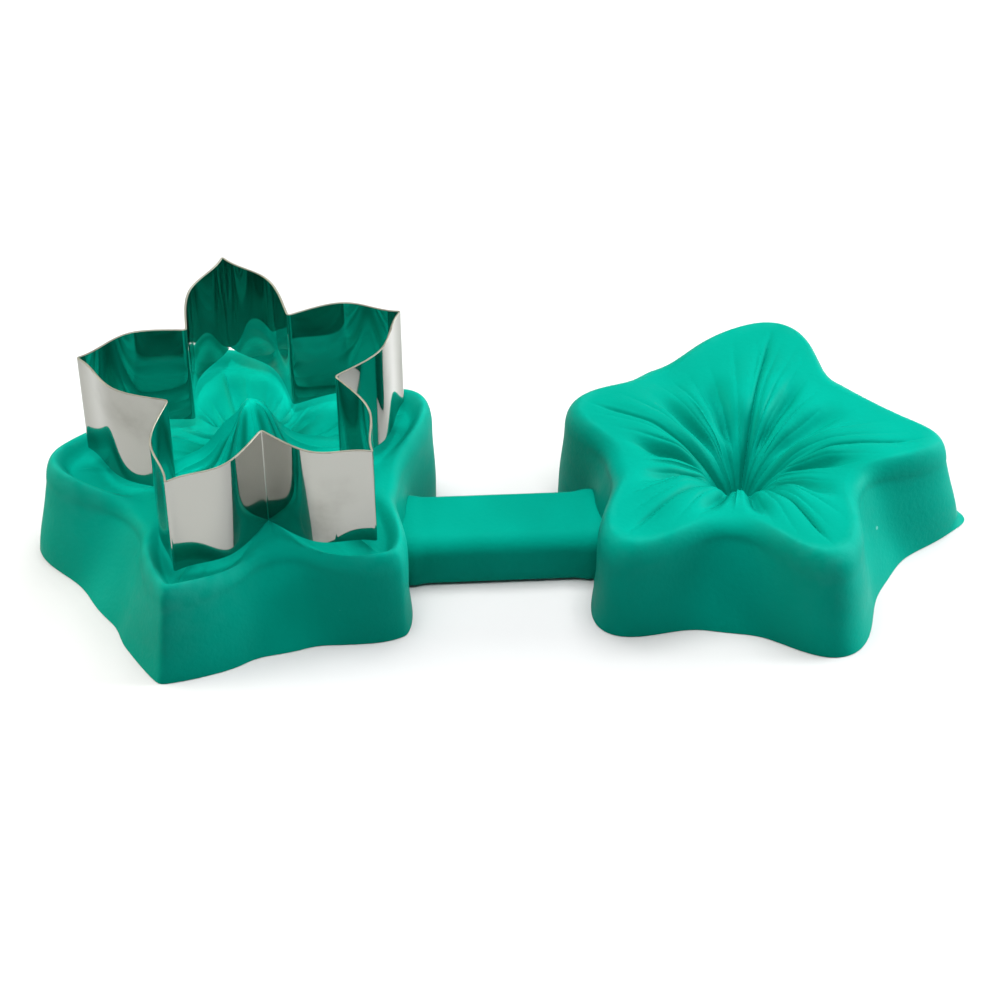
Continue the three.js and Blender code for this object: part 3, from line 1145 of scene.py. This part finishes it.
@dataclass
class PetalCutter:
    """The bent steel strip whose five petals cut the sheet of sugar paste."""

    body: str = "petal_cutter"
    tip_radius: float = 27.7
    notch_radius: float = 14.1
    half_width: float = 7.9
    swell_run: float = 2.6
    point_length: float = 6.5
    point_half_width: float = 6.1
    point_pull: float = 2.9
    point_pull_half_width: float = 1.5
    height: float = 20.0
    steel: float = 0.34
    lap_petal: int = 4
    lap_length: float = 6.0
    lap_ramp: float = 3.0
    lap_from_tip: float = 6.5
    lap_step: float = 0.06
    lean_deg: float = 7.5
    turn_deg: float = -2.2
    bend_radius: float = 0.32
    bend_reach: int = 4
    spacing: float = 0.16
    curve_steps: int = 60
    height_steps: int = 8
    edge_round: float = 0.08
    sharp_deg: float = 40.0

    def petal_line(self) -> Array:
        """One petal's line from notch to notch, along the petal's own axis."""
        half_angle = PETAL_ANGLE / 2
        notch = self.notch_radius * np.array([math.cos(half_angle), math.sin(half_angle)])
        neck = np.array([self.tip_radius - self.point_length, self.point_half_width])
        tip = np.array([self.tip_radius, 0.0])
        from_notch = np.array([notch[0] + self.swell_run, self.half_width])
        to_neck = np.array([neck[0] - self.swell_run, self.half_width])
        to_tip = np.array([tip[0] - self.point_pull, self.point_pull_half_width])
        rising = bezier([notch, from_notch, to_neck, neck], self.curve_steps)
        closing = bezier([neck, 2 * neck - to_neck, to_tip, tip], self.curve_steps)
        flank = np.concatenate([rising, closing[1:]])
        return np.concatenate([flank * [1, -1], flank[::-1][1:-1]])

    def middle_line(self) -> tuple[Array, Array]:
        """The strip's middle line, evenly spaced, with its bends rounded.

        Returns:
            Points round the cutter, and how far along the strip each lies.
        """
        base, turn = self.petal_line(), math.radians(self.turn_deg)
        loop = np.concatenate([turned(base, PETAL_ANGLE * (i + 0.5) + turn) for i in range(PETALS)])
        closed = np.concatenate([loop, loop[:1]])
        run = np.concatenate([[0.0], np.cumsum(np.linalg.norm(np.diff(closed, axis=0), axis=1))])
        count = int(round(run[-1] / self.spacing / PETALS / 2)) * PETALS * 2
        place = np.arange(count) * run[-1] / count
        even = np.column_stack([np.interp(place, run, closed[:, i]) for i in range(2)])
        reach = int(self.bend_reach * self.bend_radius / self.spacing)
        near = np.arange(-reach, reach + 1)
        weights = swell(near * self.spacing, self.bend_radius * math.sqrt(2))
        weights /= weights.sum()
        rounded = sum(weight * np.roll(even, -k, axis=0) for k, weight in zip(near, weights))
        return rounded, place

    def lap(self, place: Array) -> Array:
        """Steel that the lapped end adds outside the strip: a ramp, a flat and a step.

        Args:
            place: How far along the strip each point lies.

        Returns:
            The added thickness at each point.
        """
        per_petal = (place[1] * len(place)) / PETALS
        from_tip = per_petal * (self.lap_petal + 0.5) - place
        under = from_tip - self.lap_from_tip
        ramp = np.clip((self.lap_length + self.lap_ramp - under) / self.lap_ramp, 0.0, 1.0)
        return np.where((under >= 0) & (from_tip <= per_petal / 2), self.lap_step * ramp, 0.0)

    def walls(self) -> tuple[Array, Array]:
        """The strip's outer and inner outlines."""
        line, place = self.middle_line()
        along = np.roll(line, -1, axis=0) - np.roll(line, 1, axis=0)
        along /= np.linalg.norm(along, axis=1)[:, None]
        outward = np.column_stack([along[:, 1], -along[:, 0]])
        outer = line + outward * (self.steel / 2 + self.lap(place))[:, None]
        inner = line - outward * self.steel / 2
        return outer, inner

    def build(self) -> Piece:
        """Makes the strip and stands it where its solid stands.

        Returns:
            The placed piece, with its faces in the first material and its cut edges in the second.
        """
        outer, inner = self.walls()
        around, steps = len(outer), self.height_steps
        levels = np.linspace(self.edge_round, self.height - self.edge_round, steps + 1)
        trim = (inner - outer) / np.linalg.norm(inner - outer, axis=1)[:, None] * self.edge_round
        outlines = [(outer, level) for level in levels]
        outlines += [(outer + trim, self.height), (inner - trim, self.height)]
        outlines += [(inner, level) for level in levels[::-1]]
        outlines += [(inner - trim, 0.0), (outer + trim, 0.0)]
        rings = [np.column_stack([line, np.full(around, level)]) for line, level in outlines]
        faces = flipped(ring_faces(len(rings), around, 0, closed=True))
        obj = mesh_object("petal_cutter_strip", self.placed(np.concatenate(rings)), faces, self.sharp_deg)
        bands = ([0] * steps + [1] * 3) * 2
        obj.data.materials.append(None)
        obj.data.materials.append(None)
        obj.data.polygons.foreach_set("material_index", np.repeat(bands, around).astype(np.int32))
        return obj

    def placed(self, points: Array) -> Array:
        """Leans the strip to the front and stands it in its solid's box.

        Args:
            points: Rows of x, y and z of the upright strip.

        Returns:
            The placed rows.
        """
        lean = math.radians(self.lean_deg)
        out = points.copy()
        out[:, 1] = points[:, 1] * math.cos(lean) - points[:, 2] * math.sin(lean)
        out[:, 2] = points[:, 1] * math.sin(lean) + points[:, 2] * math.cos(lean)
        out = turned(out, -math.radians(TOE_DEG))
        low, high = (np.array(corner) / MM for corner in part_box(self.body))
        middle = (out.min(axis=0) + out.max(axis=0)) / 2
        return out + (low + high) / 2 - middle

    def dress(self, obj: Piece, polished: Material, raw: Material) -> None:
        """Gives the strip its finishes and sets it on its body.

        Args:
            obj: The built piece.
            polished: Finish of the faces.
            raw: Finish of the cut edges.
        """
        obj.data.materials[0] = polished
        obj.data.materials[1] = raw
        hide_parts(self.body)
        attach(obj, self.body)


# Studio


@dataclass(frozen=True)
class SoftBox:
    """A square soft light that faces the press."""

    name: str
    place: Place
    size: float
    watts: float
    color: tuple[float, float, float]


@dataclass(frozen=True)
class CutterGlow:
    """A small spot for the light that the steel throws down on the flower."""

    name: str = "cutter_glow"
    place: Place = (-0.043, -0.24, 0.40)
    aim: Place = (-0.041, 0.006, 0.024)
    watts: float = 14.0
    cone_deg: float = 7.4
    edge_softness: float = 1.0
    size: float = 0.02


@dataclass
class Studio:
    """Pale floor, soft light and the camera."""

    azimuth_deg: float = -3.42
    elevation_deg: float = 37.85
    distance_mm: float = 590.6
    target_mm: Place = (0.211, -5.205, 12.0)
    focal_pixels: float = 3600.0
    sensor_mm: float = 36.0
    nearest: float = 0.01
    floor_side: float = 6.0
    floor_drop: float = 0.0001
    floor_sharp_deg: float = 30.0
    sky: Color = (0.93, 0.97, 1.0, 1.0)
    sky_strength: float = 0.22
    glow: CutterGlow = field(default_factory=CutterGlow)
    lights: tuple[SoftBox, ...] = (
        SoftBox("overhead_box", (0.0, 0.07, 1.05), 0.8, 25.0, (1.0, 1.0, 1.0)),
        SoftBox("right_box", (0.95, 0.18, 0.36), 0.5, 18.5, (0.93, 0.98, 1.0)),
        SoftBox("left_box", (-0.95, 0.20, 0.36), 0.5, 9.0, (1.0, 0.98, 0.80)),
    )

    def build_floor(self) -> Piece:
        """Lays the floor under the press.

        Returns:
            The floor, which is no piece of the press.
        """
        half = self.floor_side / 2 / MM
        corners = np.array([[-half, -half, 0], [half, -half, 0], [half, half, 0], [-half, half, 0]], float)
        floor = mesh_object("studio_floor", corners, [(0, 1, 2, 3)], self.floor_sharp_deg)
        floor.location.z = -self.floor_drop
        return floor

    def dress_floor(self, floor: Piece, paper: Material) -> None:
        """Gives the floor its finish."""
        floor.data.materials.append(paper)

    def build_lights(self) -> None:
        """Hangs the soft boxes and the spot, and sets the even sky."""
        for box in self.lights:
            data = bpy.data.lights.new(box.name, "AREA")
            data.shape = "SQUARE"
            data.size = box.size
            data.energy = box.watts
            data.color = box.color
            self.hang(box.name, data, Vector(box.place), Vector())
        spot = bpy.data.lights.new(self.glow.name, "SPOT")
        spot.energy = self.glow.watts
        spot.spot_size = math.radians(self.glow.cone_deg)
        spot.spot_blend = self.glow.edge_softness
        spot.shadow_soft_size = self.glow.size
        self.hang(self.glow.name, spot, Vector(self.glow.place), Vector(self.glow.aim))
        world = bpy.data.worlds.new("studio_sky")
        world.use_nodes = True
        background = world.node_tree.nodes["Background"]
        background.inputs["Color"].default_value = self.sky
        background.inputs["Strength"].default_value = self.sky_strength
        bpy.context.scene.world = world
        bpy.context.scene.view_settings.view_transform = "Standard"

    def hang(self, name: str, data: bpy.types.ID, place: Vector, aim: Vector) -> Piece:
        """Puts a light or a camera in its place, turned to its aim.

        Args:
            name: The object's name.
            data: The light or the camera.
            place: Where it hangs.
            aim: The point that it looks at.

        Returns:
            The new object.
        """
        obj = bpy.data.objects.new(name, data)
        obj.location = place
        obj.rotation_mode = "QUATERNION"
        obj.rotation_quaternion = (aim - place).to_track_quat("-Z", "Y")
        bpy.context.scene.collection.objects.link(obj)
        return obj

    def build_camera(self) -> None:
        """Sets the camera at the picture's viewing angle."""
        azimuth, elevation = math.radians(self.azimuth_deg), math.radians(self.elevation_deg)
        level = math.cos(elevation)
        back = Vector((math.sin(azimuth) * level, -math.cos(azimuth) * level, math.sin(elevation)))
        target = Vector(self.target_mm)
        data = bpy.data.cameras.new("studio_camera")
        data.sensor_width = self.sensor_mm
        data.lens = self.focal_pixels * self.sensor_mm / PICTURE_SIDE
        data.clip_start = self.nearest
        place = (target + back * self.distance_mm) * MM
        bpy.context.scene.camera = self.hang("studio_camera", data, place, target * MM)


# Petals run from the notch at the strap, anticlockwise on the raised half and clockwise on the other.
RAISED_PETALS = (
    Petal(turn_deg=2.4, rim_reach=1.2, lift=0.6, bloom=0.2),
    Petal(rim_reach=0.3, lift=1.4),
    Petal(turn_deg=2.5, rim_reach=0.2, lift=0.5, bloom=0.3),
    Petal(
        turn_deg=0.6, rim_reach=0.5, foot_reach=0.8, lift=-1.0, point=1.0, bloom=0.25,
        notch_rim=-3.0, notch_foot=1.2,
    ),
    Petal(turn_deg=-0.4, foot_reach=-0.9, lift=-1.6, point=0.45, notch_round=1.5, notch_rim=-3.6),
)
# Bumps give their direction, distance, half length, half width and height.
RAISED_BUMPS = (
    Bump(288.0, 4.0, 2.6, 2.6, 1.8),
    Bump(250.0, 3.4, 1.6, 1.1, 1.1),
    Bump(328.0, 4.2, 2.2, 1.8, 1.2),
    Bump(5.0, 3.4, 1.7, 1.7, 2.1),
    Bump(200.0, 2.6, 1.4, 1.2, -1.6),
    Bump(84.0, 23.5, 5.0, 7.0, 2.9),
    Bump(57.0, 21.0, 5.0, 6.0, 2.2),
    Bump(288.0, 18.5, 3.0, 5.0, 0.6),
    Bump(288.0, 13.5, 2.0, 3.0, -0.3),
    Bump(288.0, 26.0, 8.0, 10.0, -2.6),
    Bump(108.0, 33.0, 3.5, 9.0, -1.3),
    Bump(164.0, 27.0, 5.0, 5.0, 1.4),
)
HOLLOW_PETALS = (
    Petal(turn_deg=-1.0, lift=-1.4, rim_reach=-1.6, foot_reach=-1.8, notch_rim=-1.5),
    Petal(
        turn_deg=5.2, lift=-2.7, rim_reach=5.1, foot_reach=3.0, fullness=0.5,
        notch_rim=3.6, notch_foot=2.5,
    ),
    Petal(turn_deg=6.0, lift=-3.0, rim_reach=0.9, foot_reach=1.4, flash=1.2, bow=1.2, notch_rim=1.2),
    Petal(turn_deg=3.0, lift=-2.0, bloom=0.2, notch_rim=-3.5, notch_foot=-1.0),
    Petal(turn_deg=-1.0, lift=-3.2, rim_reach=0.6, notch_rim=-3.0, notch_foot=-0.8),
)
HOLLOW_BUMPS = (
    Bump(288.0, 3.8, 3.0, 3.2, -2.1),
    Bump(285.0, 7.0, 3.0, 1.2, 0.7),
    Bump(281.0, 12.0, 5.0, 1.6, 0.5),
    Bump(252.0, 3.1, 1.6, 1.6, -1.0),
    Bump(326.0, 3.8, 2.2, 2.0, -1.2),
    Bump(5.0, 3.4, 2.0, 2.0, -1.8),
    Bump(78.0, 23.0, 5.0, 9.0, -1.6),
)
HOLLOW_RELIEF = FlowerRelief(
    spike_height=3.5, spike_radius=2.2, spike_flare=1.4,
    skirt_height=11.0, skirt_radius=11.0, skirt_flare=1.4,
    fold_height=2.0, vein_height=0.36, vein_full_radius=14.0, veins_per_petal=9,
    # The last setting is the strength of the painted shade in the grooves.
    gathers_per_petal=4, gather_slope=0.02, groove_shade_strength=0.35,
)

RAISED_BLOCK = StarBlock(
    "raised_flower", "raised_half", Side.RAISED, RAISED_PETALS, RAISED_BUMPS,
    lip_run=3.0, corner_run=0.0, corner_drop=4.8, ease=0.0,
)
HOLLOW_BLOCK = StarBlock(
    "hollow_flower", "hollow_half", Side.HOLLOW, HOLLOW_PETALS, HOLLOW_BUMPS,
    lip_run=0.0, corner_run=1.2, corner_drop=2.8, ease=0.3, foot_turn=0.6, relief=HOLLOW_RELIEF,
)


def main() -> None:
    """Builds and dresses the pieces in order, then sets up the studio."""
    logging.basicConfig(level=logging.INFO)
    effects = Effects()
    silicone = SiliconeFinish().material(effects)
    for block in (RAISED_BLOCK, HOLLOW_BLOCK):
        obj = block.build()
        block.dress(obj, silicone)
        log.info("%s: %d points on %s", obj.name, len(obj.data.vertices), block.body)
    strap = Strap()
    skins = strap.build()
    strap.dress(skins, silicone)
    log.info("strap: %d skins", len(skins))
    cutter = PetalCutter()
    strip = cutter.build()
    cutter.dress(strip, POLISHED_STRIP.material(effects), RAW_EDGE.material(effects))
    log.info("%s: %d points on %s", strip.name, len(strip.data.vertices), cutter.body)
    studio = Studio()
    studio.dress_floor(studio.build_floor(), PaperFinish().material(effects))
    studio.build_lights()
    studio.build_camera()


if __name__ == "__main__":
    main()
